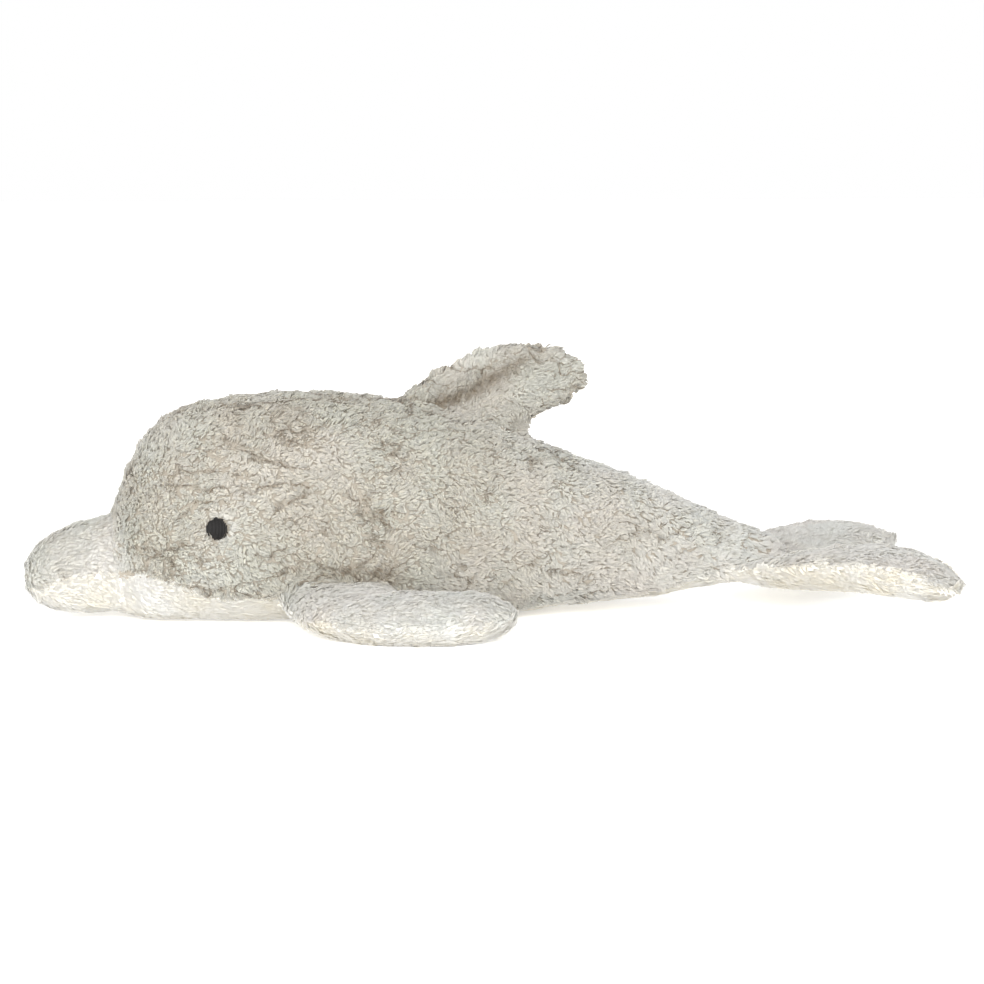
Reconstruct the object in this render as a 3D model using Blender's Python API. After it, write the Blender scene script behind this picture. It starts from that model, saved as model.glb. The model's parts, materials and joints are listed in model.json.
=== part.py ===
"""A plush dolphin that lies on its belly, its beak towards -X and the floor at z = 0.

The cover is sewn from plush panels. Two grey side panels meet along the back, and a cream
panel closes the belly. The beak, each flipper and each tail fluke is a pocket of a grey panel
over a cream one, and the dorsal fin is a pocket of two grey panels. Loose wool fills them all
but the dorsal fin. The eyes are round black patches. Left is the dolphin's own left, at -Y.

A grid of points runs over each panel: rows go along the part, and columns go round it by the
angle from its widest point, which is 0 at the left side, 90 on top, 180 at the right side
and -90 underneath.
"""

import math

import bmesh
import bpy
import numpy as np

# Cloth and sewing, in metres as all sizes here
CLOTH = 0.007  # plush from its backing to the tips of its pile
SEWN_GAP = 0.0003  # between panels at a seam, and between cloth and filling
LEAST_FILLING = 0.002  # half the filling's height where the cover is thinnest

# Body
BEAK_TIP_X = -0.2430
BEAK_LENGTH = 0.0495
BODY_LENGTH = 0.356
BODY_HEIGHT = 0.1205
BODY_HALF_WIDTH = 0.063
BODY_FRONT_X = BEAK_TIP_X + BEAK_LENGTH
TAIL_END_X = BODY_FRONT_X + BODY_LENGTH

# Stations as (share of the body's length, share of its height, or of its half width)
BACK_LINE = (
    (0.0, 0.475), (0.012, 0.61), (0.037, 0.765), (0.067, 0.87), (0.11, 0.94), (0.185, 0.982),
    (0.274, 1.0), (0.39, 0.975), (0.48, 0.92), (0.60, 0.81), (0.72, 0.68), (0.81, 0.575),
    (0.90, 0.45), (0.955, 0.385), (1.0, 0.33),
)
WIDEST_LINE = ((0.0, 0.235), (0.11, 0.32), (0.27, 0.35), (0.50, 0.35), (0.72, 0.30), (1.0, 0.22))
BELLY_LINE = (
    (0.0, 0.01), (0.05, -0.035), (0.52, -0.035), (0.66, 0.02), (0.80, 0.050), (0.90, 0.098), (1.0, 0.12),
)
GIRTH_LINE = (
    (0.0, 0.42), (0.012, 0.50), (0.037, 0.63), (0.067, 0.74), (0.126, 0.87), (0.19, 0.95),
    (0.28, 1.0), (0.40, 0.99), (0.50, 0.93), (0.60, 0.84), (0.72, 0.67), (0.81, 0.53),
    (0.90, 0.385), (0.955, 0.33), (1.0, 0.31),
)
# The seam between side and belly panels, as (share of the length, degrees below the widest point)
SEAM_LINE = (
    (0.0, 2.0), (0.03, 5.0), (0.09, 18.0), (0.15, 31.0), (0.28, 33.0), (0.48, 40.0), (0.60, 58.0),
    (0.72, 62.0), (0.80, 54.0), (0.88, 36.0), (1.0, 28.0),
)
FULLNESS_ABOVE = 0.95  # 1 is an ellipse, and less is boxier
FULLNESS_BELOW = 0.80

# Beak, in shares of its length from the tip and of the body's front outline
BEAK_OUTLINE = ((0.0, 0.0), (0.06, 0.37), (0.20, 0.64), (0.40, 0.82), (0.70, 0.95), (1.0, 1.0))
BEAK_TIP_Z = 0.0215

# Flippers, whose root is sunk in the body and whose reach counts from the body's side
FLIPPER_SETBACK = 0.119  # the root's middle, behind the body's front
FLIPPER_ROOT_SINK = 0.028
FLIPPER_REACH = 0.032
FLIPPER_SWEEP = 0.084  # how far behind the root the tip lies
FLIPPER_BEND = -0.014  # how far behind the root the spine's bend lies
FLIPPER_BULGE = 0.029  # how much further out than the tip the bend lies
FLIPPER_HALF_WIDTH = 0.031
FLIPPER_RISE = 0.0115
FLIPPER_SEAM_Z = 0.0095
FLIPPER_ROOT_LIFT = 0.006  # the seam rises by this much to the seam of the body
FLIPPER_PRESS = 0.0015  # how far the underside is flattened by the floor
FLIPPER_BLUNTNESS = 10  # 2 ends in an ellipse, and more is squarer

# Tail flukes, whose roots meet on the middle plane
FLUKE_OVERLAP = 0.012  # how far the root's middle lies in front of the tail's end
FLUKE_SPAN = 0.102  # from the middle plane to the tip
FLUKE_SWEEP = 0.090  # how far behind the root's middle the tip lies
FLUKE_BEND = 0.030  # how far behind the root's middle the spine's bend lies
FLUKE_BEND_SPAN = 0.061  # from the middle plane to the bend
FLUKE_HALF_WIDTH = 0.034
FLUKE_RISE = 0.0095
FLUKE_DEPTH = 0.0215
FLUKE_ROOT_WAIST = 0.50  # how much flatter the pocket is at its root, as a share
FLUKE_SEAM_Z = 0.0240
FLUKE_ARCH_LEFT = 0.0110  # how far the seam rises between root and tip
FLUKE_ARCH_RIGHT = 0.0065  # the right fluke lies flatter
FLUKE_BLUNTNESS = 5.5

# Dorsal fin, in the middle plane
FIN_SETBACK = 0.163  # the root's middle, behind the body's front
FIN_ROOT_SINK = 0.018
FIN_BEND_X = 0.031
FIN_BEND_Z = 0.034
FIN_TIP_X = 0.0905
FIN_TIP_Z = 0.0305
FIN_HALF_WIDTH = 0.0235
FIN_HALF_THICKNESS = 0.0085
FIN_BLUNTNESS = 5
FIN_FOLD_DEPTH = 0.0075
FIN_FOLD_WIDTH = 0.30  # shares of the half width
FIN_FOLD_START = -0.25
FIN_FOLD_SLOPE = 1.1

# Eyes
EYE_SETBACK = 0.0545  # behind the body's front
EYE_ABOVE_WIDEST = 0.0130
EYE_RADIUS = 0.0056
EYE_PROUD = 0.0010
EYE_DOME = 0.0007
EYE_SINK = 0.0030

# How finely the grids run
BODY_ROWS = 30
SIDE_COLUMNS = 10
BELLY_COLUMNS = 10
BEAK_ROWS = 9
BEAK_COLUMNS = 12
LEAF_ROWS = 13
LEAF_COLUMNS = 8
EYE_STEPS = 20

SMALL = 1e-4  # the step along a grid that a normal is measured with
GREY_PLUSH = ("grey_plush", "BDB5A6")
CREAM_PLUSH = ("cream_plush", "F3EFE4")
WOOL_FILLING = ("wool_filling", "E9E2D2")
BLACK_FELT = ("black_felt", "262426")


def linear_colour(hex_text):
    """The linear colour of an sRGB hex value."""
    parts = [int(hex_text[i : i + 2], 16) / 255 for i in (0, 2, 4)]
    return tuple(c / 12.92 if c <= 0.04045 else ((c + 0.055) / 1.055) ** 2.4 for c in parts) + (1.0,)


def cloth_material(name, finish):
    """A matt material of its own for one piece."""
    material = bpy.data.materials.new(f"{finish[0]}_{name}")
    material.use_nodes = True
    shader = material.node_tree.nodes["Principled BSDF"]
    shader.inputs["Base Color"].default_value = linear_colour(finish[1])
    shader.inputs["Roughness"].default_value = 0.9
    shader.inputs["Metallic"].default_value = 0.0
    return material


def smooth_line(stations, at):
    """Values at the places AT on a smooth line through (place, value) stations, with no overshoot."""
    places, values = np.array(stations, float).T
    steps = np.diff(places)
    slopes = np.diff(values) / steps
    bends = np.concatenate([slopes[:1], np.zeros(len(slopes) - 1), slopes[-1:]])
    same_way = slopes[:-1] * slopes[1:] > 0
    before = 2 * steps[1:] + steps[:-1]
    after = steps[1:] + 2 * steps[:-1]
    safe = np.where(same_way, slopes[:-1], 1.0), np.where(same_way, slopes[1:], 1.0)
    mean = (before + after) / (before / safe[0] + after / safe[1])
    bends[1:-1] = np.where(same_way, mean, 0.0)
    at = np.clip(at, places[0], places[-1])
    k = np.clip(np.searchsorted(places, at, side="right") - 1, 0, len(steps) - 1)
    t = (at - places[k]) / steps[k]
    return (
        values[k] * (1 + 2 * t) * (1 - t) ** 2
        + bends[k] * steps[k] * t * (1 - t) ** 2
        + values[k + 1] * t**2 * (3 - 2 * t)
        - bends[k + 1] * steps[k] * t**2 * (1 - t)
    )


def curved_power(value, power):
    """A sine or cosine raised to a power, its sign kept."""
    return np.sign(value) * np.abs(value) ** power


def body_sizes(along):
    """The back's, widest point's and belly's heights and the half width, at shares of the length."""
    back = BODY_HEIGHT * smooth_line(BACK_LINE, along)
    widest = BODY_HEIGHT * smooth_line(WIDEST_LINE, along)
    belly = BODY_HEIGHT * smooth_line(BELLY_LINE, along)
    return back, widest, belly, BODY_HALF_WIDTH * smooth_line(GIRTH_LINE, along)


def section(centre_x, sizes, angle, floor):
    """Points of a stuffed outline at these angles in degrees, flattened where it meets the floor."""
    back, widest, belly, half_width = sizes
    turn = np.radians(angle)
    fullness = np.where(angle >= 0, FULLNESS_ABOVE, FULLNESS_BELOW)
    y = -half_width * curved_power(np.cos(turn), fullness)
    height = curved_power(np.sin(turn), fullness)
    z = widest + np.where(angle >= 0, back - widest, widest - belly) * height
    return np.stack([centre_x + 0 * y, y, np.maximum(z, floor)], axis=-1)


def body_point(along, angle, floor=0.0):
    return section(BODY_FRONT_X + BODY_LENGTH * along, body_sizes(along), angle, floor)


def beak_point(along, angle, floor=0.0):
    """The beak tapers from the body's front outline to its tip."""
    share = smooth_line(BEAK_OUTLINE, along)
    back, widest, belly, half_width = body_sizes(0 * along)
    middle = BEAK_TIP_Z + (widest - BEAK_TIP_Z) * along
    sizes = (middle + (back - widest) * share, middle, middle - (widest - belly) * share, half_width * share)
    return section(BEAK_TIP_X + (BEAK_LENGTH - SEWN_GAP) * along, sizes, angle, floor)


def outward(surface, along, angle):
    """Unit normals of a surface that a function of (along, angle) gives."""
    down_rows = surface(along + SMALL, angle) - surface(along - SMALL, angle)
    round_it = surface(along, angle + 1.0) - surface(along, angle - 1.0)
    normal = np.cross(down_rows, round_it)
    length = np.linalg.norm(normal, axis=-1, keepdims=True)
    return normal / np.maximum(length, 1e-12)


def lining(surface, along, angle, depth):
    """The surface moved inwards by a depth. Its first and last rows stay in their own planes."""
    normal = outward(surface, np.clip(along, 0.004, 1 - SMALL), angle)
    for row in (0, -1):
        normal[row, :, 0] = 0
        normal[row] /= np.maximum(np.linalg.norm(normal[row], axis=-1, keepdims=True), 1e-12)
    return surface(along, angle) - normal * depth[..., None]


def body_cloth(along):
    """The cover's thickness, less where the tail is too thin for two layers and some filling."""
    back, widest, belly, _ = body_sizes(along)
    half_height = np.minimum(back - widest, widest - np.maximum(belly, 0.0))
    return np.minimum(CLOTH, half_height - LEAST_FILLING - SEWN_GAP)


def cell(mesh, corners, lean=1):
    """Two triangles between four corners in order. lean picks the diagonal, so mating faces match."""
    a, b, c, d = corners
    halves = ((a, b, c), (a, c, d)) if lean > 0 else ((a, b, d), (b, c, d))
    for half in halves:
        if len(set(half)) == 3:
            mesh.faces.new(half)


def grid_body(name, outer, inner, finish):
    """One closed solid between two grids of points, with a wall round their edges."""
    rows, columns = outer.shape[:2]
    mesh = bmesh.new()
    top, bottom = ([[mesh.verts.new(point) for point in row] for row in face] for face in (outer, inner))
    for i in range(rows - 1):
        for j in range(columns - 1):
            for face in (top, bottom):
                cell(mesh, (face[i][j], face[i][j + 1], face[i + 1][j + 1], face[i + 1][j]))
    for i in range(rows - 1):
        for j in (0, columns - 1):
            cell(mesh, (top[i][j], bottom[i][j], bottom[i + 1][j], top[i + 1][j]))
    for j in range(columns - 1):
        for i in (0, rows - 1):
            cell(mesh, (top[i][j], bottom[i][j], bottom[i][j + 1], top[i][j + 1]))
    bmesh.ops.remove_doubles(mesh, verts=mesh.verts, dist=1e-6)
    bmesh.ops.dissolve_degenerate(mesh, edges=mesh.edges, dist=1e-6)
    return finished(name, mesh, finish)


def ring_body(name, rings, leans, finish):
    """One closed solid lofted through closed rings of points, with flat ends."""
    mesh = bmesh.new()
    loops = [[mesh.verts.new(point) for point in ring] for ring in rings]
    for front, rear in zip(loops, loops[1:]):
        for j, lean in enumerate(leans):
            k = (j + 1) % len(front)
            cell(mesh, (front[j], front[k], rear[k], rear[j]), lean)
    for end in (loops[0], loops[-1]):
        mesh.faces.new(end)
    return finished(name, mesh, finish)


def finished(name, mesh, finish):
    """The object that a mesh under construction becomes. With no finish it is a cutter."""
    bmesh.ops.recalc_face_normals(mesh, faces=mesh.faces)
    data = bpy.data.meshes.new(name)
    mesh.to_mesh(data)
    mesh.free()
    data.shade_smooth()
    data.set_sharp_from_angle(angle=math.radians(50))
    obj = bpy.data.objects.new(name, data)
    bpy.context.scene.collection.objects.link(obj)
    if finish is None:
        obj.hide_render = True
        obj.display_type = "WIRE"
    else:
        data.materials.append(cloth_material(name, finish))
        obj.parent = bpy.data.objects["dolphin"]
    return obj


def grid(along, angles):
    """Every share of the length with every angle, as two arrays of rows and columns."""
    return np.meshgrid(along, angles, indexing="ij")


def cut_by(obj, cutter):
    """Takes the cutter's shape out of a piece that is sewn to it."""
    cut = obj.modifiers.new("seat on the body", "BOOLEAN")
    cut.operation = "DIFFERENCE"
    cut.solver = "EXACT"
    cut.object = cutter


def body_rows():
    """Shares of the body's length, closer together at the steep forehead."""
    return np.linspace(0, 1, BODY_ROWS) ** 1.5


def between(low, high, columns):
    """Angles from low to high for each row, evenly spread over the columns."""
    return low[:, None] + np.linspace(0, 1, columns)[None, :] * (high - low)[:, None]


def body_angles(along):
    """The angles of the left side panel's columns and of the belly panel's, row by row."""
    seam = -smooth_line(SEAM_LINE, along)
    a_degree = np.linalg.norm(body_point(along, seam + 1) - body_point(along, seam), axis=-1)
    half_gap = 0.5 * SEWN_GAP / a_degree
    side = between(seam + half_gap, 90 + 0 * seam, SIDE_COLUMNS)
    return side, between(seam - half_gap, half_gap - 180 - seam, BELLY_COLUMNS)


def spread(values, columns):
    """A value for each row, repeated over the columns."""
    return np.repeat(values[:, None], columns, axis=1)


def ring_leans():
    """The diagonals of the three panels, in the order that a ring goes round them."""
    return [1] * (SIDE_COLUMNS - 1) + [-1] * (SIDE_COLUMNS - 1) + [-1] * (BELLY_COLUMNS - 1)


def body_rings(depth, floor):
    """Closed rings on the columns of all three panels, moved inwards by a depth for each row."""
    along = body_rows()
    side, belly = body_angles(along)
    angles = np.concatenate([side, 180 - side[:, -2::-1], belly[:, ::-1][:, 1:-1] + 360], axis=1)
    angles = np.where(angles > 180, angles - 360, angles)

    def surface(rows, turns):
        return body_point(rows, turns, floor)

    return lining(surface, spread(along, angles.shape[1]), angles, spread(depth, angles.shape[1]))


def build_body():
    """The two side panels, the belly panel and the filling."""
    along = body_rows()
    cloth = body_cloth(along)
    side_angles, belly_angles = body_angles(along)
    rows, depth = spread(along, SIDE_COLUMNS), spread(cloth, SIDE_COLUMNS)
    for name, side in (("side_panel_left", 1), ("side_panel_right", -1)):
        faces = [body_point(rows, side_angles), lining(body_point, rows, side_angles, depth)]
        for points in faces:
            points[..., 1] = side * np.minimum(points[..., 1], -SEWN_GAP / 2)
        grid_body(name, *faces, GREY_PLUSH)
    rows, depth = spread(along, BELLY_COLUMNS), spread(cloth, BELLY_COLUMNS)
    faces = body_point(rows, belly_angles), lining(body_point, rows, belly_angles, depth)
    grid_body("belly_panel", *faces, CREAM_PLUSH)
    ring_body("body_filling", body_rings(cloth + SEWN_GAP, 0.0), ring_leans(), WOOL_FILLING)


def build_envelope():
    """The body's outer form, grown by the gap, that cuts what is sewn to it."""
    rings = body_rings(np.full(BODY_ROWS, -SEWN_GAP), -1.0)
    rings[0, :, 0] -= SEWN_GAP
    rings[-1, :, 0] += SEWN_GAP
    return ring_body("body_envelope", rings, ring_leans(), None)


def build_beak():
    """A grey panel over a cream one, and the filling between them."""
    along = np.linspace(0, 1, BEAK_ROWS) ** 1.6
    middle = BEAK_TIP_Z + (body_sizes(np.zeros(1))[1] - BEAK_TIP_Z) * along
    rows, above = grid(along, np.linspace(0, 180, BEAK_COLUMNS))
    cloth, packed = np.full(rows.shape, CLOTH), np.full(rows.shape, CLOTH + SEWN_GAP)
    for name, way, finish in (("beak_upper", 1, GREY_PLUSH), ("beak_lower", -1, CREAM_PLUSH)):
        faces = [beak_point(rows, way * above), beak_lining(rows, way * above, cloth)]
        seam = (middle + way * SEWN_GAP / 2)[:, None]
        for points in faces:
            points[..., 2] = way * np.maximum(way * points[..., 2], way * seam)
        grid_body(name, *faces, finish)
    grid_body("beak_filling", beak_lining(rows, above, packed), beak_lining(rows, -above, packed), WOOL_FILLING)


def beak_lining(along, angle, depth):
    """The beak's surface moved inwards. Its tip is a single point that moves straight back."""
    points = beak_point(along, angle)
    normal = outward(beak_point, np.clip(along, 0.02, 1 - SMALL), angle)
    normal[-1, :, 0] = 0
    normal[-1] /= np.linalg.norm(normal[-1], axis=-1, keepdims=True)
    normal[0] = (-1, 0, 0)
    return points - normal * depth[..., None]


def leaf_grids(spine, flat_normal, half_width, bluntness, heights, camber, inset=0.0, least=SEWN_GAP / 2):
    """The upper and lower faces of a flat sewn pocket, along a curved spine of three points.

    bluntness is how square its tip is. heights are its rise, its depth and the share of both that
    its root lacks. inset draws the pocket in by that much all round, and least is its least height
    either way.
    """
    start, bend, tip = (np.array(p, float) for p in spine)
    normal = np.array(flat_normal, float)
    length = np.linalg.norm(bend - start) + np.linalg.norm(tip - bend)
    reach = np.sin(np.linspace(0, math.pi / 2, LEAF_ROWS)) * (1 - inset / length)
    rows, turn = np.meshgrid(reach, np.linspace(0, math.pi, LEAF_COLUMNS), indexing="ij")
    s = rows[..., None]
    centre = (1 - s) ** 2 * start + 2 * s * (1 - s) * bend + s**2 * tip
    ahead = (1 - s) * (bend - start) + s * (tip - bend)
    across = np.cross(normal, ahead)
    across /= np.linalg.norm(across, axis=-1, keepdims=True)
    rounding = np.sqrt(np.maximum(1 - (rows / reach[-1]) ** bluntness, 0))
    offset = np.cos(turn) * (half_width - inset) * rounding
    middle = centre + across * offset[..., None]
    middle = middle + normal * camber(rows, offset / half_width)[..., None]
    dome = np.sin(turn) ** 0.8 * rounding
    rise, depth, root_waist = heights
    swell = 1 - root_waist * (1 - rows) ** 2
    return [
        middle + normal * (way * np.maximum(dome * np.maximum(height * swell - inset, 0), least))[..., None]
        for way, height in ((1, rise), (-1, depth))
    ]


def build_leaf(
    names, finishes, cutter, spine, flat_normal, half_width, bluntness, heights, camber, limit=None
):
    """A sewn pocket: an upper and a lower panel, and the filling if a third name is given."""
    shape = (spine, flat_normal, half_width, bluntness, heights, camber)
    outer = leaf_grids(*shape)
    lined = leaf_grids(*shape, inset=CLOTH)
    pieces = [(names[0], outer[0], lined[0]), (names[1], outer[1], lined[1])]
    if len(names) > 2:
        packed = leaf_grids(*shape, inset=CLOTH + SEWN_GAP, least=0.0)
        pieces.append((names[2], *packed))
    for (name, top, bottom), finish in zip(pieces, finishes):
        for points in (top, bottom):
            if limit:
                limit(points)
        cut_by(grid_body(name, top, bottom, finish), cutter)


def build_flippers(cutter):
    side_y = BODY_HALF_WIDTH
    root_x = BODY_FRONT_X + FLIPPER_SETBACK
    for side_name, side in (("left", -1), ("right", 1)):
        spine = (
            (root_x, side * (side_y - FLIPPER_ROOT_SINK), FLIPPER_SEAM_Z),
            (root_x + FLIPPER_BEND, side * (side_y + FLIPPER_REACH + FLIPPER_BULGE), FLIPPER_SEAM_Z),
            (root_x + FLIPPER_SWEEP, side * (side_y + FLIPPER_REACH), FLIPPER_SEAM_Z),
        )

        def lifted_root(along, _across):
            return FLIPPER_ROOT_LIFT * (1 - along) ** 3

        def on_the_floor(points):
            points[..., 2] = np.maximum(points[..., 2], 0.0)

        build_leaf(
            (f"flipper_{side_name}_upper", f"flipper_{side_name}_under"),
            (GREY_PLUSH, CREAM_PLUSH),
            cutter,
            spine,
            (0, 0, 1),
            FLIPPER_HALF_WIDTH,
            FLIPPER_BLUNTNESS,
            (FLIPPER_RISE, FLIPPER_SEAM_Z + FLIPPER_PRESS, 0.0),
            lifted_root,
            on_the_floor,
        )


def build_flukes(cutter):
    root_x = TAIL_END_X - FLUKE_OVERLAP
    for side_name, side, arch in (("left", -1, FLUKE_ARCH_LEFT), ("right", 1, FLUKE_ARCH_RIGHT)):
        spine = (
            (root_x, 0.0, FLUKE_SEAM_Z),
            (root_x + FLUKE_BEND, side * FLUKE_BEND_SPAN, FLUKE_SEAM_Z),
            (root_x + FLUKE_SWEEP, side * FLUKE_SPAN, FLUKE_SEAM_Z),
        )

        def arched(along, _across, arch=arch):
            return arch * np.sin(math.pi * along**1.5)

        def own_side(points, side=side):
            points[..., 1] = side * np.maximum(side * points[..., 1], SEWN_GAP / 2)

        build_leaf(
            (f"fluke_{side_name}_upper", f"fluke_{side_name}_under", f"fluke_{side_name}_filling"),
            (GREY_PLUSH, CREAM_PLUSH, WOOL_FILLING),
            cutter,
            spine,
            (0, 0, 1),
            FLUKE_HALF_WIDTH,
            FLUKE_BLUNTNESS,
            (FLUKE_RISE, FLUKE_DEPTH, FLUKE_ROOT_WAIST),
            arched,
            own_side,
        )


def build_dorsal_fin(cutter):
    """A soft fin that leans back, with a fold that runs up its left side."""
    root_x = BODY_FRONT_X + FIN_SETBACK
    back = body_sizes(np.array([FIN_SETBACK / BODY_LENGTH]))[0][0]
    root_z = back - FIN_ROOT_SINK
    spine = (
        (root_x, 0.0, root_z),
        (root_x + FIN_BEND_X, 0.0, root_z + FIN_BEND_Z),
        (root_x + FIN_TIP_X, 0.0, root_z + FIN_TIP_Z),
    )

    def folded(along, across):
        fold_line = FIN_FOLD_START + FIN_FOLD_SLOPE * along
        return -FIN_FOLD_DEPTH * np.exp(-(((across - fold_line) / FIN_FOLD_WIDTH) ** 2)) * (1 - along**3)

    build_leaf(
        ("dorsal_fin_left", "dorsal_fin_right"),
        (GREY_PLUSH, GREY_PLUSH),
        cutter,
        spine,
        (0, -1, 0),
        FIN_HALF_WIDTH,
        FIN_BLUNTNESS,
        (FIN_HALF_THICKNESS, FIN_HALF_THICKNESS, 0.0),
        folded,
    )


def build_eyes(cutter):
    """Round patches with a low dome, each square to the side panel that it is sewn on."""
    along = np.array([EYE_SETBACK / BODY_LENGTH])
    back, widest = (size[0] for size in body_sizes(along)[:2])
    angle = np.degrees([math.asin((EYE_ABOVE_WIDEST / (back - widest)) ** (1 / FULLNESS_ABOVE))])
    seat = body_point(along, angle)[0]
    normal = outward(body_point, along, angle)[0]
    level = np.cross(normal, (0, 0, 1))
    level /= np.linalg.norm(level)
    upright = np.cross(level, normal)
    rings = ((EYE_RADIUS, -EYE_SINK), (EYE_RADIUS, EYE_PROUD), (0.7 * EYE_RADIUS, EYE_PROUD + 0.7 * EYE_DOME))
    for side_name, side in (("left", 1), ("right", -1)):
        mesh = bmesh.new()
        loops = []
        for radius, height in rings:
            ring = []
            for k in range(EYE_STEPS):
                turn = 2 * math.pi * k / EYE_STEPS
                point = seat + normal * height + radius * (math.cos(turn) * level + math.sin(turn) * upright)
                ring.append(mesh.verts.new((point[0], side * point[1], point[2])))
            loops.append([mesh.edges.new((ring[k], ring[(k + 1) % EYE_STEPS])) for k in range(EYE_STEPS)])
        for lower, upper in zip(loops, loops[1:]):
            bmesh.ops.bridge_loops(mesh, edges=lower + upper)
        crown = seat + normal * (EYE_PROUD + EYE_DOME)
        top = mesh.verts.new((crown[0], side * crown[1], crown[2]))
        for edge in loops[-1]:
            mesh.faces.new((*edge.verts, top))
        bmesh.ops.edgeloop_fill(mesh, edges=loops[0])
        cut_by(finished(f"eye_{side_name}", mesh, BLACK_FELT), cutter)


def main():
    for obj in list(bpy.data.objects):
        bpy.data.objects.remove(obj)
    bpy.context.scene.collection.objects.link(bpy.data.objects.new("dolphin", None))
    build_body()
    build_beak()
    envelope = build_envelope()
    build_flippers(envelope)
    build_flukes(envelope)
    build_dorsal_fin(envelope)
    build_eyes(envelope)


main()
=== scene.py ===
"""Dresses the plush dolphin: a sewn cover with its pile, stitched eyes, and a plain studio.

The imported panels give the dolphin's outline. One skin is drawn a little inside them, parted
along their seams, and each part gets tufts of pile that lie the way the nap is combed.
"""

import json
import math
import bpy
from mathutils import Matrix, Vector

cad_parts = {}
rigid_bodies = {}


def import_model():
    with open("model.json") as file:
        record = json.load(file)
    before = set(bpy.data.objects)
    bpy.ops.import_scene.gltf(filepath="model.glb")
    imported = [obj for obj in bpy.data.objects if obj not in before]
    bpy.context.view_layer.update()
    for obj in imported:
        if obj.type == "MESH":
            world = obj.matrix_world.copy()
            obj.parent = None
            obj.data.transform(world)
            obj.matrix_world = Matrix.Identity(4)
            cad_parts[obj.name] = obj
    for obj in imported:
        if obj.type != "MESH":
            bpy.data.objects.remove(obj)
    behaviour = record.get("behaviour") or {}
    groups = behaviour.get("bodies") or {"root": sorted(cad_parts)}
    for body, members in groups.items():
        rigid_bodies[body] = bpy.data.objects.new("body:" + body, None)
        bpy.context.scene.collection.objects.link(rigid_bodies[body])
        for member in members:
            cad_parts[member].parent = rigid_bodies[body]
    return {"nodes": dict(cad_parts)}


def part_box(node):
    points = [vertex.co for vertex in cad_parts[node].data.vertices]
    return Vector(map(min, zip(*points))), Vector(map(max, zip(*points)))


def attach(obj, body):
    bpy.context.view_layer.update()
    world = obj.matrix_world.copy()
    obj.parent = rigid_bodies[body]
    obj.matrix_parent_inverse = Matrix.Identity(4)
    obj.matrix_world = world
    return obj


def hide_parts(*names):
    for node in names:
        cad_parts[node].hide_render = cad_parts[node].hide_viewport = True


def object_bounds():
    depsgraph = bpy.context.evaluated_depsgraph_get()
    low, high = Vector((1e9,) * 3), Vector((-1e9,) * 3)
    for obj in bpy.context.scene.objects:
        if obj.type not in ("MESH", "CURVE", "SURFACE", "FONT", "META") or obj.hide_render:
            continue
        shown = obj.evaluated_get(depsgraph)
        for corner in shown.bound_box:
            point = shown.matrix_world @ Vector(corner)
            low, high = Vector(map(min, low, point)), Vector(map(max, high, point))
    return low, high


bl_info = {
    "name": "Plush Dolphin",
    "version": (1, 0, 0),
    "blender": (4, 5, 0),
    "location": "3D View > Sidebar > Plush Dolphin",
    "description": "Sews a plush dolphin's cover, grows its pile and sets up a studio",
    "category": "Mesh",
}

import bpy
import numpy as np
from bpy.props import FloatProperty, FloatVectorProperty, PointerProperty, StringProperty
from mathutils import Vector
from mathutils.bvhtree import BVHTree
from mathutils.kdtree import KDTree

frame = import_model()
CAD_BOX = [list(corner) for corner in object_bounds()]

GREY_PANELS = (
    "side_panel_left", "side_panel_right", "beak_upper", "flipper_left_upper", "flipper_right_upper",
    "fluke_left_upper", "fluke_right_upper", "dorsal_fin_left", "dorsal_fin_right",
)
CREAM_PANELS = (
    "belly_panel", "beak_lower", "flipper_left_under", "flipper_right_under", "fluke_left_under",
    "fluke_right_under",
)
PANELS = GREY_PANELS + CREAM_PANELS
FILLINGS = ("body_filling", "beak_filling", "fluke_left_filling", "fluke_right_filling")
EYES = ("eye_left", "eye_right")

# The fold up the fin's left side, in shares of the fin's length and height
FOLD_LINE = ((0.05, 0.15), (0.38, 0.41), (0.49, 0.57), (0.70, 0.80))
# How high the beak's seam runs at its tip and at its base, in shares of the beak's height
BEAK_SEAM = (0.27, 0.50)
# How much higher the left fluke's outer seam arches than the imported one, in metres, and where along
# its box the arch is highest and how far it reaches, in shares of the box's length
FLUKE_SEAM_LIFT = 0.0065
FLUKE_SEAM_TOP = 0.64
FLUKE_SEAM_REACH = 0.26
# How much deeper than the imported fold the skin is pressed, and how wide, in metres
FOLD_DEPTH = 0.0030
FOLD_WIDTH = 0.0045
# How much the tops of the flippers rise towards their blunt ends: from where along their box, over what
# share of it, and by how many metres
FLIPPER_RISES = ((0.25, 0.3, 0.003), (0.7, 0.2, 0.002))


def in_metres(name, about, default):
    """A setting that is a length."""
    return FloatProperty(name=name, description=about, default=default, unit="LENGTH", precision=5)


def in_square_metres(name, about, default):
    """A setting that is an area."""
    return FloatProperty(name=name, description=about, default=default, unit="AREA", precision=6)


def in_degrees(name, about, default):
    """A setting that is an angle, its default given in degrees."""
    return FloatProperty(name=name, description=about, default=math.radians(default), subtype="ANGLE")


def in_watts(name, about, default):
    """A setting that is a lamp's power."""
    return FloatProperty(name=name, description=about, default=default, unit="POWER")


def as_number(name, about, default):
    """A setting that is a plain number."""
    return FloatProperty(name=name, description=about, default=default, precision=3)


def as_hex(name, about, default):
    """A setting that is a colour, as an sRGB hex value."""
    return StringProperty(name=name, description=about, default=default)


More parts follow.
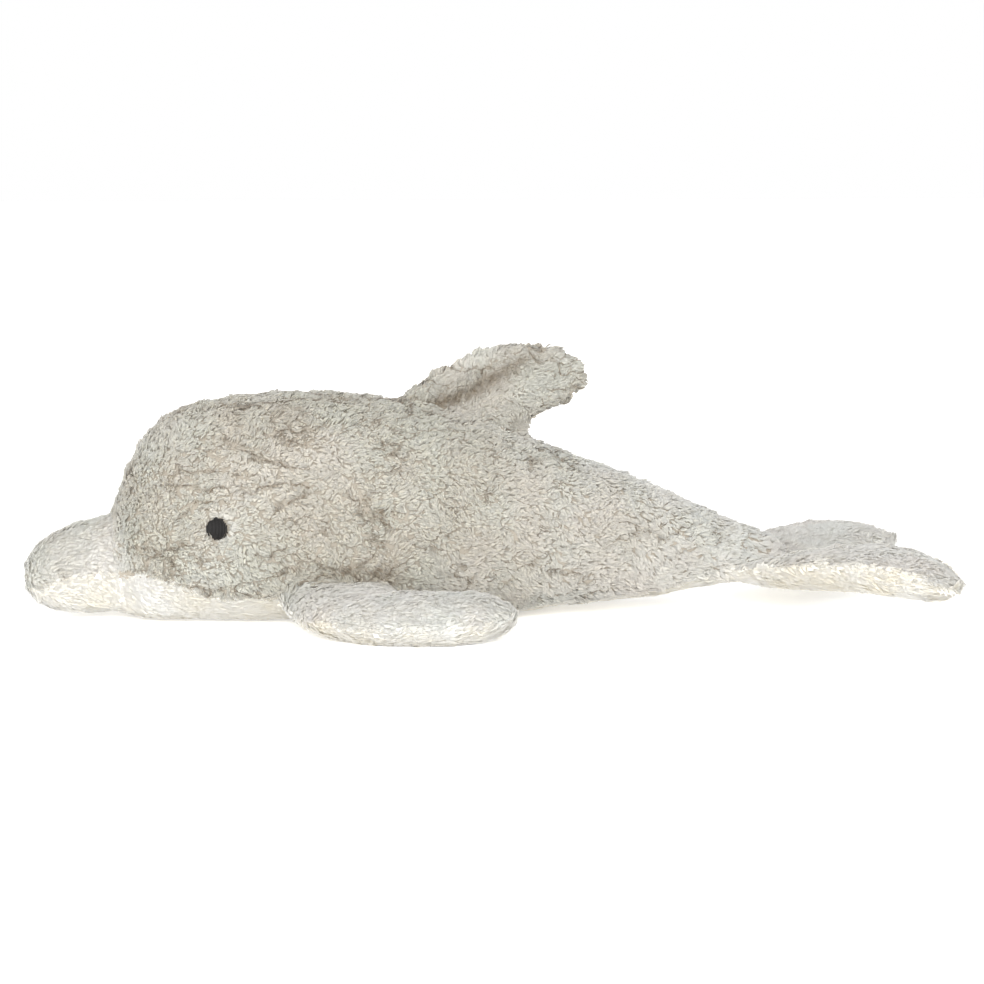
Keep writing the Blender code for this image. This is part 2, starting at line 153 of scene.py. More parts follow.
# What each setting of a pile is, and its default on the sides, the fin, the limbs and the cream cloth
KINDS = ("side", "fin", "limb", "cream")
PILE_SIZES = {
    "length": (in_metres, "Length", "Length of a tuft", 0.0044, 0.0044, 0.0054, 0.0058),
    "width": (in_metres, "Width", "Width of a tuft", 0.0020, 0.0016, 0.0021, 0.0025),
    "room": (in_square_metres, "Room", "Area of backing for each tuft", 1.29e-6, 0.55e-6, 1.3e-6, 1.6e-6),
    "lay": (in_degrees, "Lay", "Angle of the tufts above the backing", 33, 33, 14, 8),
    "lay_wander": (in_degrees, "Lay wander", "How much that angle wanders", 10, 10, 6, 4),
    "turn_wander": (in_degrees, "Turn wander", "How much the combed direction wanders", 36, 36, 20, 14),
    "clump": (in_metres, "Clump", "Distance between gathered tips", 0.0032, 0.0032, 0.0032, 0.0032),
    "gather": (as_number, "Gather", "How far they gather", 0.5, 0.5, 0.35, 0.2),
    "parting": (as_number, "Parting", "How much the pile opens along its partings", 1.0, 0.6, 0.3, 0.0),
    # The paleness of brushed pile is partly painted light
    "bloom": (as_number, "Bloom", "How far the pile is brushed pale and smooth", 0.0, 0.25, 0.95, 0.85),
    "seam_shade": (as_number, "Seam shade", "How dark the pile is along seams", 0.4, 0.4, 0.4, 0.0),
    "relief": (as_number, "Relief", "How much each tuft stands out", 0.65, 0.7, 0.45, 0.0),
}


def pile_sizes(kind):
    """The settings of one kind of pile."""
    return {
        key: setting(name, about, defaults[KINDS.index(kind)])
        for key, (setting, name, about, *defaults) in PILE_SIZES.items()
    }


class SidePile(bpy.types.PropertyGroup):
    """Long grey pile on the body."""

    __annotations__ = pile_sizes("side")


class FinPile(bpy.types.PropertyGroup):
    """The fin's pile, as long as the body's, closer and paler."""

    __annotations__ = pile_sizes("fin")


class LimbPile(bpy.types.PropertyGroup):
    """The smoother grey pile of the beak, flippers and flukes, its paler tips partly painted light."""

    __annotations__ = pile_sizes("limb")


class CreamPile(bpy.types.PropertyGroup):
    """The cream pile underneath, smooth and flat."""

    __annotations__ = pile_sizes("cream")


class CoverSettings(bpy.types.PropertyGroup):
    """The stuffed skin that the pile grows from."""

    cell: in_metres("Cell", "Size of the skin's faces", 0.0036)
    depth: in_metres("Depth", "From the tips of the pile to its backing", 0.0020)
    swell: in_metres("Swell", "How far the stuffing may push the skin out between seams", 0.0014)
    pressure: as_number("Pressure", "Pressure of the stuffing", 60.0)
    stiffness: as_number("Stiffness", "How little the cloth stretches", 0.5)
    backing: in_metres("Backing", "Thickness of the knitted backing", 0.0004)


class ColourSettings(bpy.types.PropertyGroup):
    """Colours as sRGB hex values."""

    grey_tip: as_hex("Grey tips", "Tips of the grey pile", "C6C3B9")
    # Partly painted light: the pale tips on the backlit rear and top, the upturned limbs and the lower body
    grey_pale: as_hex("Brushed tips", "Grey tips brushed pale", "DFDDD7")
    # Painted shade: deep in the grey pile, in its cracks and on its shut-in backing
    grey_root: as_hex("Grey roots", "Roots of the grey pile", "746A5C")
    cream_tip: as_hex("Cream tips", "Tips of the cream pile", "FAF8F1")
    # Painted shade: deep in the cream pile and on its shut-in backing
    cream_root: as_hex("Cream roots", "Roots of the cream pile", "F0EADC")
    grey_backing: as_hex("Grey backing", "Knit under the long pile", "ABA396")
    pale_backing: as_hex("Pale backing", "Knit under the pale pile", "CFCCC5")
    cream_backing: as_hex("Cream backing", "Knit under the cream pile", "F4EFE4")
    wool: as_hex("Wool", "Filling", "E9E2D2")
    thread: as_hex("Thread", "Thread of the eyes", "1B1918")
    floor: as_hex("Floor", "Studio floor", "FAFAFA")


class EyeSettings(bpy.types.PropertyGroup):
    """The stitched eyes. Real thread is 0.3 mm thick and would not show, so it is drawn thicker."""

    thread: in_metres("Thread", "Thickness of the thread", 0.0007)
    dome: in_metres("Dome", "How far the eye bulges", 0.0012)


class StageSettings(bpy.types.PropertyGroup):
    """The camera and the lamps."""

    azimuth: in_degrees("Azimuth", "Camera's turn round the dolphin", -5)
    elevation: in_degrees("Elevation", "Camera's height angle", 6.5)
    distance: in_metres("Distance", "Camera's distance", 2.0)
    target: FloatVectorProperty(
        name="Target", description="Point that the camera looks at", default=(0.0075, 0.0, 0.0642),
        subtype="TRANSLATION",
    )
    lens: as_number("Lens", "Focal length in millimetres", 137.7)
    sky: as_number("Sky", "Strength of the light from all round", 0.81)
    key: in_watts("Key", "Power of the lamp overhead", 6.0)
    fill: in_watts("Fill", "Power of the lamp in front", 51.0)


class DolphinSettings(bpy.types.PropertyGroup):
    """Everything that the panel shows."""

    cover: PointerProperty(type=CoverSettings)
    side: PointerProperty(type=SidePile)
    cream: PointerProperty(type=CreamPile)
    limb: PointerProperty(type=LimbPile)
    fin: PointerProperty(type=FinPile)
    colours: PointerProperty(type=ColourSettings)
    eyes: PointerProperty(type=EyeSettings)
    stage: PointerProperty(type=StageSettings)


def linear(hex_text):
    """The linear colour of an sRGB hex value."""
    parts = [int(hex_text[i : i + 2], 16) / 255 for i in (0, 2, 4)]
    return tuple(c / 12.92 if c <= 0.04045 else ((c + 0.055) / 1.055) ** 2.4 for c in parts) + (1.0,)


def add_node(tree, kind, settings=None, **links):
    """A node with its settings, and each input named in LINKS joined to a socket or given a value.

    An input that shares its name with others is given by its number, such as _6. Nodes are set out in
    rows of six, in the order in which they are made.
    """
    node = tree.nodes.new(kind)
    count = len(tree.nodes)
    node.location = (220 * (count % 6), -300 * (count // 6))
    for name, value in (settings or {}).items():
        setattr(node, name, value)
    for name, value in links.items():
        key = int(name[1:]) if name[0] == "_" else name.replace("_", " ")
        if isinstance(value, bpy.types.NodeSocket):
            tree.links.new(value, node.inputs[key])
        else:
            node.inputs[key].default_value = value
    return node


def new_material(name):
    """An empty node material, its tree and its output."""
    material = bpy.data.materials.new(name)
    material.use_nodes = True
    tree = material.node_tree
    tree.nodes.clear()
    return material, tree, tree.nodes.new("ShaderNodeOutputMaterial")


def plush_pile(name, root, tip, pale, warm, cool, softness):
    """Polyester plush, knitted and brushed: fine matt fibres that let light through and show no gloss.

    Brushing gathers them in locks about 1.9 mm wide, which drift in tone, and opens cracks about 1 mm wide,
    jagged at the width of a lock, that break off every 3.5 mm. The roots and the cracks are painted shade
    in the root colour, and the pale tips partly painted light. A real fibre is 0.02 mm thick. It would
    not show, so a tuft has streaks 0.2 mm wide and 1.5 mm long.
    """
    material, tree, output = new_material(name)
    colours = {"data_type": "RGBA"}
    product = {"data_type": "RGBA", "blend_type": "MULTIPLY"}
    shade, bloom, tint, parting, cleft = (
        add_node(tree, "ShaderNodeAttribute", {"attribute_name": key}).outputs["Fac"]
        for key in ("shade", "bloom", "tint", "parting", "cleft")
    )
    # Pale tips, partly painted light, and the root colour, painted shade deep in the pile
    tips = add_node(tree, "ShaderNodeMix", colours, Factor=bloom, _6=linear(tip), _7=linear(pale))
    colour = add_node(tree, "ShaderNodeMix", colours, Factor=shade, _6=linear(root), _7=tips.outputs[2])
    warmth = add_node(tree, "ShaderNodeMapRange", Value=tint, _1=-1.6, _2=1.6)
    drift = add_node(
        tree, "ShaderNodeMix", colours, Factor=warmth.outputs["Result"], _6=linear(warm), _7=linear(cool)
    )
    toned = add_node(tree, "ShaderNodeMix", product, Factor=1.0, _6=colour.outputs[2], _7=drift.outputs[2])

    place = add_node(tree, "ShaderNodeTexCoord").outputs["Object"]
    locks = add_node(
        tree, "ShaderNodeTexNoise", Vector=place, Scale=1 / 0.0019, Detail=2.0, Roughness=0.55, Distortion=0.4
    ).outputs["Fac"]
    lock_shade = add_node(tree, "ShaderNodeMapRange", Value=locks, _1=0.3, _2=0.62, _3=0.0, _4=1.0)
    depth = add_node(
        tree, "ShaderNodeMix", colours, Factor=lock_shade.outputs[0], _6=linear("ECEBE8"), _7=linear("FFFFFF")
    )
    rough = add_node(tree, "ShaderNodeMapRange", Value=bloom, _1=0.0, _2=0.9, _3=1.0, _4=0.15)
    locked = add_node(
        tree, "ShaderNodeMix", product, Factor=rough.outputs[0], _6=toned.outputs[2], _7=depth.outputs[2]
    )

    # The cracks' darkness is painted shade, in the root colour.
    cracks = []
    for line, narrow, darkness in ((parting, 0.08, 0.95), (cleft, 0.06, 0.8)):
        jagged = add_node(tree, "ShaderNodeMath", {"operation": "MULTIPLY_ADD"}, _0=locks, _1=0.9, _2=line)
        centred = add_node(tree, "ShaderNodeMath", {"operation": "SUBTRACT"}, _0=jagged.outputs[0], _1=0.43)
        off_line = add_node(tree, "ShaderNodeMath", {"operation": "ABSOLUTE"}, _0=centred.outputs[0])
        cracks.append(add_node(
            tree, "ShaderNodeMapRange", {"interpolation_type": "SMOOTHSTEP"},
            Value=off_line.outputs[0], _1=narrow, _2=0.34, _3=darkness, _4=0.0,
        ).outputs[0])
    crack = add_node(tree, "ShaderNodeMath", {"operation": "MAXIMUM"}, _0=cracks[0], _1=cracks[1])
    gaps = add_node(tree, "ShaderNodeTexNoise", Vector=place, Scale=1 / 0.0035, Detail=1.0)
    broken = add_node(
        tree, "ShaderNodeMapRange", Value=gaps.outputs["Fac"], _1=0.38, _2=0.54, _3=0.25, _4=1.0
    )
    crack = add_node(
        tree, "ShaderNodeMath", {"operation": "MULTIPLY"}, _0=crack.outputs[0], _1=broken.outputs[0]
    )
    cracked = add_node(
        tree, "ShaderNodeMix", colours, Factor=crack.outputs[0], _6=locked.outputs[2], _7=linear(root)
    )

    spot = add_node(tree, "ShaderNodeUVMap", {"uv_map": "fibres"})
    fibres = add_node(
        tree, "ShaderNodeTexNoise", {"noise_dimensions": "2D"},
        Vector=spot.outputs["UV"], Scale=3.0, Detail=2.0, Roughness=0.6,
    )
    bump = add_node(
        tree, "ShaderNodeBump",
        Strength=0.5 * 0.001 / softness, Distance=0.0002, Height=fibres.outputs["Fac"],
    )
    shader = add_node(
        tree, "ShaderNodeBsdfPrincipled",
        Base_Color=cracked.outputs[2], Roughness=0.88, Sheen_Weight=0.25, Sheen_Roughness=0.45,
        Subsurface_Weight=0.6, Subsurface_Scale=softness, Subsurface_Radius=(1.0, 0.95, 0.85),
        Specular_IOR_Level=0.15, Normal=bump.outputs["Normal"],
    )
    tree.links.new(shader.outputs["BSDF"], output.inputs["Surface"])
    return material


def knitted_backing(name, colour, shut):
    """Polyester knit that the pile is tied into: matt loops 1.1 mm apart, with painted shade where they are
    shut in.
    """
    material, tree, output = new_material(name)
    place = add_node(tree, "ShaderNodeTexCoord")
    loops = add_node(tree, "ShaderNodeTexVoronoi", Vector=place.outputs["Object"], Scale=1 / 0.00111)
    shade = add_node(tree, "ShaderNodeAttribute", {"attribute_name": "shade"})
    shaded = add_node(
        tree, "ShaderNodeMix", {"data_type": "RGBA"},
        Factor=shade.outputs["Fac"], _6=linear(shut), _7=linear(colour),
    )
    bump = add_node(tree, "ShaderNodeBump", Strength=0.5, Distance=0.0003, Height=loops.outputs["Distance"])
    shader = add_node(
        tree, "ShaderNodeBsdfPrincipled",
        Base_Color=shaded.outputs[2], Roughness=0.95, Normal=bump.outputs["Normal"],
    )
    tree.links.new(shader.outputs["BSDF"], output.inputs["Surface"])
    return material


def wool_wadding(colour):
    """Carded wool: combed to loose pale wisps about 4.5 mm across, with no shine, inside the cover."""
    material, tree, output = new_material("wool_wadding")
    place = add_node(tree, "ShaderNodeTexCoord")
    wisps = add_node(
        tree, "ShaderNodeTexNoise",
        Vector=place.outputs["Object"], Scale=1 / 0.0045, Detail=4.0, Distortion=2.0,
    )
    bump = add_node(tree, "ShaderNodeBump", Strength=0.8, Distance=0.001, Height=wisps.outputs["Fac"])
    shader = add_node(
        tree, "ShaderNodeBsdfPrincipled",
        Base_Color=linear(colour), Roughness=1.0, Sheen_Weight=0.3, Normal=bump.outputs["Normal"],
    )
    tree.links.new(shader.outputs["BSDF"], output.inputs["Surface"])
    return material


def embroidery_thread(colour):
    """Polyester embroidery thread, twisted every 0.4 mm: near black, with a soft shine along each strand."""
    material, tree, output = new_material("embroidery_thread")
    place = add_node(tree, "ShaderNodeTexCoord")
    # A diagonal wave of scale 900 repeats every 0.4 mm.
    twist = add_node(
        tree, "ShaderNodeTexWave", {"bands_direction": "DIAGONAL"},
        Vector=place.outputs["Object"], Scale=900.0, Distortion=1.0,
    )
    bump = add_node(tree, "ShaderNodeBump", Strength=0.3, Distance=0.0001, Height=twist.outputs["Fac"])
    shader = add_node(
        tree, "ShaderNodeBsdfPrincipled",
        Base_Color=linear(colour), Roughness=0.55, Specular_IOR_Level=0.35, Normal=bump.outputs["Normal"],
    )
    tree.links.new(shader.outputs["BSDF"], output.inputs["Surface"])
    return material


def studio_white(colour):
    """Matt white acrylic, lit a little from below. Far off it looks as bright as the white backdrop."""
    material, tree, output = new_material("studio_white")
    seen = add_node(tree, "ShaderNodeLightPath")
    board = add_node(tree, "ShaderNodeBsdfDiffuse", Color=linear(colour), Roughness=0.5)
    place = add_node(tree, "ShaderNodeTexCoord")
    away = add_node(tree, "ShaderNodeVectorMath", {"operation": "LENGTH"}, _0=place.outputs["Object"])
    lifted = add_node(
        tree, "ShaderNodeMapRange", {"interpolation_type": "SMOOTHSTEP"},
        Value=away.outputs["Value"], _1=0.4, _2=1.6, _3=0.25, _4=1.0,
    )
    glow = add_node(
        tree, "ShaderNodeMath", {"operation": "MULTIPLY"},
        _0=seen.outputs["Is Camera Ray"], _1=lifted.outputs["Result"],
    )
    glow = add_node(tree, "ShaderNodeMath", {"operation": "MAXIMUM"}, _0=glow.outputs["Value"], _1=0.22)
    lift = add_node(tree, "ShaderNodeEmission", Color=linear("FFFFFF"), Strength=glow.outputs["Value"])
    both = add_node(tree, "ShaderNodeAddShader", _0=board.outputs["BSDF"], _1=lift.outputs["Emission"])
    tree.links.new(both.outputs["Shader"], output.inputs["Surface"])
    return material


def only(*objects):
    """Selects these objects and nothing else, the last of them active."""
    bpy.ops.object.select_all(action="DESELECT")
    for obj in objects:
        obj.select_set(True)
        bpy.context.view_layer.objects.active = obj


def unit(vectors):
    """Rows scaled to length 1."""
    return vectors / np.maximum(np.linalg.norm(vectors, axis=-1, keepdims=True), 1e-12)


def wavy(points, size, seed, waves=20):
    """Smooth noise of spread 1 at each point, whose bumps are about SIZE apart."""
    dice = np.random.default_rng(seed)
    ways = unit(dice.normal(size=(waves, 3))) * (math.pi / size) * dice.uniform(0.6, 1.5, (waves, 1))
    starts = dice.uniform(0, 2 * math.pi, waves)
    return np.sin(points @ ways.T + starts).sum(1) / math.sqrt(waves / 2)


def read(data, key, kind, width=1):
    """A property of all of a mesh's elements as an array."""
    values = np.empty(len(data) * width, kind)
    data.foreach_get(key, values)
    return values.reshape(-1, width) if width > 1 else values


def scatter(cover, panel, room, dice):
    """Evenly spread points on one panel of the cover, one for each ROOM of area.

    It returns their places, their normals, how shut in each is and how far from a seam.
    """
    cover.calc_loop_triangles()
    corner = read(cover.loop_triangles, "vertices", np.int32, 3)
    owner = read(cover.attributes["panel"].data, "value", np.int32)[corner]
    whole = (owner == panel).all(1)
    near = (owner == panel).any(1)
    corner, whole = corner[near], whole[near]
    place = read(cover.vertices, "co", np.float32, 3).astype(float)[corner]
    normal = read(cover.vertex_normals, "vector", np.float32, 3).astype(float)[corner]
    marks_of = [read(cover.attributes[key].data, "value", np.float32)[corner] for key in ("crease", "seam")]
    area = np.linalg.norm(np.cross(place[:, 1] - place[:, 0], place[:, 2] - place[:, 0]), axis=1) / 2
    ends = np.cumsum(area / room)
    count = int(ends[-1])
    marks = np.arange(count) + dice.uniform(0.1, 0.9, count)
    chosen = np.minimum(np.searchsorted(ends, marks), len(ends) - 1)
    share = dice.uniform(size=(count, 2))
    over = share.sum(1) > 1
    share[over] = 1 - share[over]
    weight = np.column_stack([1 - share.sum(1), share])
    root = (place[chosen] * weight[..., None]).sum(1)
    up = unit((normal[chosen] * weight[..., None]).sum(1))
    crease, seam = ((values[chosen] * weight).sum(1) for values in marks_of)
    keep = whole[chosen]
    panel_at = panel_finder()
    for k in np.flatnonzero(~keep):
        keep[k] = panel_at(Vector(root[k])) == panel
    return root[keep], up[keep], crease[keep], seam[keep]


def panel_finder():
    """A function that tells which panel a point of the skin belongs to: the nearest packed one.

    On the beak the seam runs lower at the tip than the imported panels' does. It arches higher on the
    left fluke's outer side, and lower on the right fluke's inner side.
    """
    places, faces, owner = [], [], []
    for k, name in enumerate(PANELS):
        mesh = frame["nodes"][name].data
        start = len(places)
        places += [vertex.co.copy() for vertex in mesh.vertices]
        faces += [[start + i for i in polygon.vertices] for polygon in mesh.polygons]
        owner += [k] * len(mesh.polygons)
    search = BVHTree.FromPolygons(places, faces)
    beak = [PANELS.index(name) for name in ("beak_upper", "beak_lower")]
    upper_low, upper_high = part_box("beak_upper")
    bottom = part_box("beak_lower")[0].z
    fluke = PANELS.index("fluke_left_upper")
    fluke_low, fluke_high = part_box("fluke_left_upper")

    def panel_at(point):
        _, normal, face, _ = search.find_nearest(point)
        found = owner[face]
        if found == fluke and normal.y < -0.2:
            along = (point.x - fluke_low.x) / (fluke_high.x - fluke_low.x)
            arch = math.exp(-(((along - FLUKE_SEAM_TOP) / FLUKE_SEAM_REACH) ** 2)) * min(1, -2 * normal.y)
            return owner[search.find_nearest(point - Vector((0, 0, FLUKE_SEAM_LIFT * arch)))[2]]
        if found == PANELS.index("fluke_right_under") and normal.y < -0.1:
            return PANELS.index("fluke_right_upper")
        if found not in beak:
            return found
        along = (point.x - upper_low.x) / (upper_high.x - upper_low.x)
        share = BEAK_SEAM[0] + (BEAK_SEAM[1] - BEAK_SEAM[0]) * along
        return beak[point.z < bottom + share * (upper_high.z - bottom)]

    return panel_at


def fold_of_fin(points):
    """How far points of the fin lie from its fold, seen from the side, and how far up the fold."""
    low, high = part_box("dorsal_fin_left")
    line = np.array([(low.x + a * (high.x - low.x), low.z + b * (high.z - low.z)) for a, b in FOLD_LINE])
    flat = points[:, (0, 2)]
    nearest_away = np.ones(len(points))
    share = np.zeros(len(points))
    for k, (start, end) in enumerate(zip(line, line[1:])):
        way = end - start
        along = np.clip(((flat - start) @ way) / (way @ way), 0, 1)
        away = np.linalg.norm(flat - start - along[:, None] * way, axis=1)
        closer = away < nearest_away
        nearest_away[closer] = away[closer]
        share[closer] = (k + along[closer]) / (len(line) - 1)
    return nearest_away, share


def fanned(points, pole, along, reach):
    """Directions that fan out from a pole, and turn to ALONG by the time they are REACH away."""
    fan = points - np.array(pole)
    far = np.clip(np.linalg.norm(fan, axis=1, keepdims=True) / reach, 0, 1) ** 1.5
    return unit(fan) * (1 - far) + unit(np.array(along, float)) * far


def nearest(points, guides):
    """For each point the index of its nearest guide."""
    tree = KDTree(len(guides))
    for k, guide in enumerate(guides):
        tree.insert(guide, k)
    tree.balance()
    return np.array([tree.find(point)[1] for point in points])


def clear_of_eyes(root, along, length, dice):
    """Which tufts stay, and how long, round the stitched eyes. One lock still falls across the rim."""
    keep = np.ones(len(root), bool)
    for name in EYES:
        low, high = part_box(name)
        centre = np.array((low + high) / 2)
        radius = (high.x - low.x) / 2
        away = np.linalg.norm(root - centre, axis=1)
        tip = np.linalg.norm(root + along * length[:, None] * 0.8 - centre, axis=1)
        over = (tip < radius * 1.02) & (dice.uniform(size=len(root)) > 0.05)
        lock = centre + radius * np.array((-0.95, 0.0, -0.55))
        lock_width = 0.0021
        over &= np.linalg.norm((root - lock)[:, (0, 2)], axis=1) > lock_width
        keep &= (away > radius * 0.98) & ~(over & (away < radius * 1.15))
        length = np.where(over, np.maximum(away - radius, 0.3 * length) / 0.8, length)
    return keep, length


def tuft_mesh(name, root, up, along, sizes, looks, guide, pile, dice):
    """A mesh of closed tufts, each a spindle from its root over a ridged middle to its tip."""
    length, width, lay, relief = sizes
    dark, bloom, tint, creased = looks
    count = len(root)
    side = np.cross(up, along)

    def reach(share, angle):
        step = (length * share)[:, None]
        return root + step * (np.cos(angle)[:, None] * along + np.sin(angle)[:, None] * up)

    middle = reach(0.55, lay + math.radians(14) * relief)
    middle += side * (dice.normal(0, 0.07, count) * length)[:, None]
    tip = reach(1.0, lay - math.radians(3))
    tip += pile.gather * (tip[guide] - tip)
    middle += 0.35 * pile.gather * (middle[guide] - middle)
    run = unit(tip - root)
    ridge = unit(up - (up * run).sum(1, keepdims=True) * run)
    turn = (dice.normal(0, 1, count) * (0.05 + 0.4 * relief))[:, None]
    across = unit(side * np.cos(turn) + ridge * np.sin(turn))
    ridge = np.cross(run, across)
    ridge *= np.sign((ridge * up).sum(1, keepdims=True))
    half = (width / 2)[:, None]
    rise = half * (0.25 + 0.6 * relief)[:, None]
    sunk = 0.0004
    points = np.stack([
        root - sunk * up,
        middle - across * half - ridge * rise * 0.4,
        middle + ridge * rise,
        middle + across * half - ridge * rise * 0.4,
        tip,
    ], axis=1)
    above_floor = 0.0002
    points[..., 2] = np.maximum(points[..., 2], above_floor)
    faces = np.array([(0, 1, 2), (0, 2, 3), (0, 3, 1), (4, 2, 1), (4, 3, 2), (4, 1, 3)])
    faces = faces[None] + 5 * np.arange(count)[:, None, None]

    # Tufts differ in tone at random, and are darker in the forehead's grain. Painted shade darkens each at
    # its root and along its sides, in the fin's fold and where it lies by a parting.
    body = 1 - relief * dice.uniform(0.02, 0.32, count)
    edge = body - 0.1 * relief
    shade = np.stack([1 - 0.75 * relief, edge, body, edge, 0.3 + 0.7 * body], axis=1) * (1 - dark)[:, None]
    every = points.reshape(-1, 3)
    shade *= 1 - 0.8 * creased(every).reshape(-1, 5)
    gape = parting_width(every) * pile.parting * (1 - 0.8 * bloom.repeat(5))
    line = parting_line(every) / np.maximum(gape, 0.02)
    cleft, opened = cleft_line(every)
    cleft /= np.maximum(opened * pile.parting * (1 - bloom.repeat(5)), 0.02)
    shade *= 1 - 0.35 * np.exp(-((line / 0.5) ** 2)).reshape(-1, 5)
    across_uv = np.array([0.5, 0.0, 0.5, 1.0, 0.5])
    along_uv = np.array([0.0, 0.45, 0.45, 0.45, 1.0])
    start = dice.uniform(0, 50, (count, 2))
    uv = np.stack([start[:, :1] + 3 * across_uv, start[:, 1:] + along_uv], axis=-1)

    mesh = bpy.data.meshes.new(name)
    mesh.vertices.add(count * 5)
    mesh.vertices.foreach_set("co", points.ravel())
    mesh.loops.add(faces.size)
    mesh.loops.foreach_set("vertex_index", faces.ravel())
    mesh.polygons.add(faces.size // 3)
    mesh.polygons.foreach_set("loop_start", np.arange(0, faces.size, 3))
    mesh.update(calc_edges=True)
    point_looks = {
        "shade": shade.ravel(), "bloom": bloom.repeat(5), "tint": tint.repeat(5),
        "parting": line, "cleft": cleft,
    }
    for key, values in point_looks.items():
        mesh.attributes.new(key, "FLOAT", "POINT").data.foreach_set("value", values)
    mesh.uv_layers.new(name="fibres").data.foreach_set("uv", uv.reshape(-1, 2)[faces.ravel()].ravel())
    mesh.shade_smooth()

    # Normals near the backing's make the pile catch light as one cloth, and never turn off their own face.
    lean = 0.5 * relief[:, None] * across
    ahead = 0.5 * relief[:, None] * run
    soft = unit(np.stack([up, up - lean, up + 0.2 * ridge, up + lean, up + ahead], axis=1))
    corner = points.reshape(-1, 3)[faces]
    flat = unit(np.cross(corner[:, :, 1] - corner[:, :, 0], corner[:, :, 2] - corner[:, :, 0]))[:, :, None]
    bent = soft.reshape(-1, 3)[faces]
    bent = bent + 1.25 * flat * np.maximum(0, 0.55 - (bent * flat).sum(-1, keepdims=True))
    mesh.normals_split_custom_set(unit(bent).reshape(-1, 3))
    return mesh


def parting_line(points):
    """A noise drawn out along the body. The pile parts where it passes through zero."""
    return wavy(points * (0.45, 0.8, 1.4), 0.011, 13) + 0.25 * wavy(points, 0.0045, 22)


def parting_width(points):
    """How wide partings gape at these points, from 0 to 1, most of all on the forehead."""
    forehead = np.clip((CAD_BOX[0][0] + 0.105 - points[:, 0]) / 0.03, 0, 1)
    crown = np.clip((points[:, 2] - 0.095) / 0.02, 0, 1)
    return np.clip(wavy(points, 0.024, 14) * 0.8 + 0.30 + 0.4 * forehead + 0.3 * crown, 0, 1)


def cleft_line(points):
    """A finer noise, for the short clefts between clumps, and how much they open."""
    opened = np.clip(wavy(points, 0.013, 32) * 0.7 + 0.35, 0, 1)
    return wavy(points * (0.8, 0.9, 1.1), 0.0065, 31), opened


def grow_pile(name, pile, flow, paler, creased, seed):
    """Tufts all over a panel, combed along FLOW, gathered in clumps and opened along partings."""
    dice = np.random.default_rng(seed)
    root, up, crease, seam = scatter(bpy.data.meshes["cover"], PANELS.index(name), pile.room, dice)
    count = len(root)
    along = flow(root)
    along = unit(along - (along * up).sum(1, keepdims=True) * up)
    side = np.cross(up, along)
    turn = pile.turn_wander * (0.75 * wavy(root, 0.013, 11) + 0.65 * wavy(root, 0.0046, 12))
    turn += dice.normal(0, 0.24, count)
    length = pile.length * (1 + 0.10 * wavy(root, 0.012, 17) + dice.normal(0, 0.12, count))
    length = np.clip(length, 0.6 * pile.length, 1.4 * pile.length)
    along = unit(along * np.cos(turn)[:, None] + side * np.sin(turn)[:, None])

    # Tufts that would fall across a parting end at it.
    shown = root + along * (0.7 * length)[:, None]
    gape = parting_width(root) * pile.parting
    line = parting_line(root)
    slope = (parting_line(root + along * 0.001) - line) / 0.001
    to_line = -line / np.where(np.abs(slope) < 1.0, 1.0, slope)
    meets = (to_line > 0) & (to_line < 0.9 * length) & (gape > 0.3)
    length = np.where(meets, np.maximum(to_line / 0.9, 0.55 * length), length)

    # Where the pile is brushed it lies longer, flatter and smoother, and its tips turn pale: partly brushing,
    # partly painted light.
    folded = creased(shown)
    bloom = np.clip(pile.bloom + paler(root) + 0.12 * wavy(root, 0.03, 21), 0, 1)
    relief = pile.relief * (1 - 0.9 * bloom)
    length *= 1 + 0.2 * bloom
    lay = pile.lay + pile.lay_wander * (0.8 * wavy(root, 0.008, 15) + 0.5 * wavy(root, 0.0038, 16))
    lay = lay * (1 - 0.35 * bloom) + dice.normal(0, 1, count) * (0.03 + 0.09 * relief)
    lay = np.clip(lay, math.radians(4), math.radians(62))
    length *= 1 - 0.55 * folded
    width = pile.width * dice.uniform(0.6, 1.25, count)
    wisp = dice.uniform(size=count) < 0.08 * (folded < 0.2)
    length[wisp] *= 1.25
    width[wisp] *= 0.45
    lay[wisp] += math.radians(4) + math.radians(15) * relief[wisp]

    # Warm and cool patches drift over it, and seams are darker. Folds and shut-in places get painted shade.
    tint = 0.6 * wavy(root, 0.016, 18) + 0.6 * wavy(root, 0.045, 19)
    tint += dice.normal(0, 0.4, count) * (1 - 0.7 * bloom)
    sewn = np.exp(-((seam / 0.0028) ** 2)) * np.clip(0.5 + 0.5 * wavy(shown, 0.005, 23), 0, 1)
    dark = 0.9 * crease + pile.seam_shade * sewn * (1 - 0.8 * bloom) + 0.5 * folded
    dark = np.clip(dark + dice.normal(0, 0.05, count) * (1 - 0.7 * bloom), 0, 0.95)

    keep, length = clear_of_eyes(root, along, length, dice)
    root, up, along, length, width, lay, dark, bloom, tint, relief = (
        values[keep] for values in (root, up, along, length, width, lay, dark, bloom, tint, relief)
    )

    # Each tuft gathers to the nearest of a few leaders.
    step = max(1, round(pile.clump**2 / pile.room))
    leaders = dice.permutation(len(root))[: len(root) // step]
    guide = leaders[nearest(root, root[leaders])]
    mesh = tuft_mesh(
        name + "_pile", root, up, along, (length, width, lay, relief), (dark, bloom, tint, creased), guide,
        pile, dice,
    )
    tufts = bpy.data.objects.new(name + "_pile", mesh)
    bpy.context.scene.collection.objects.link(tufts)
    return tufts


def evenly(points):
    """No part of the panel is paler, or more folded, than the rest."""
    return np.zeros(len(points))


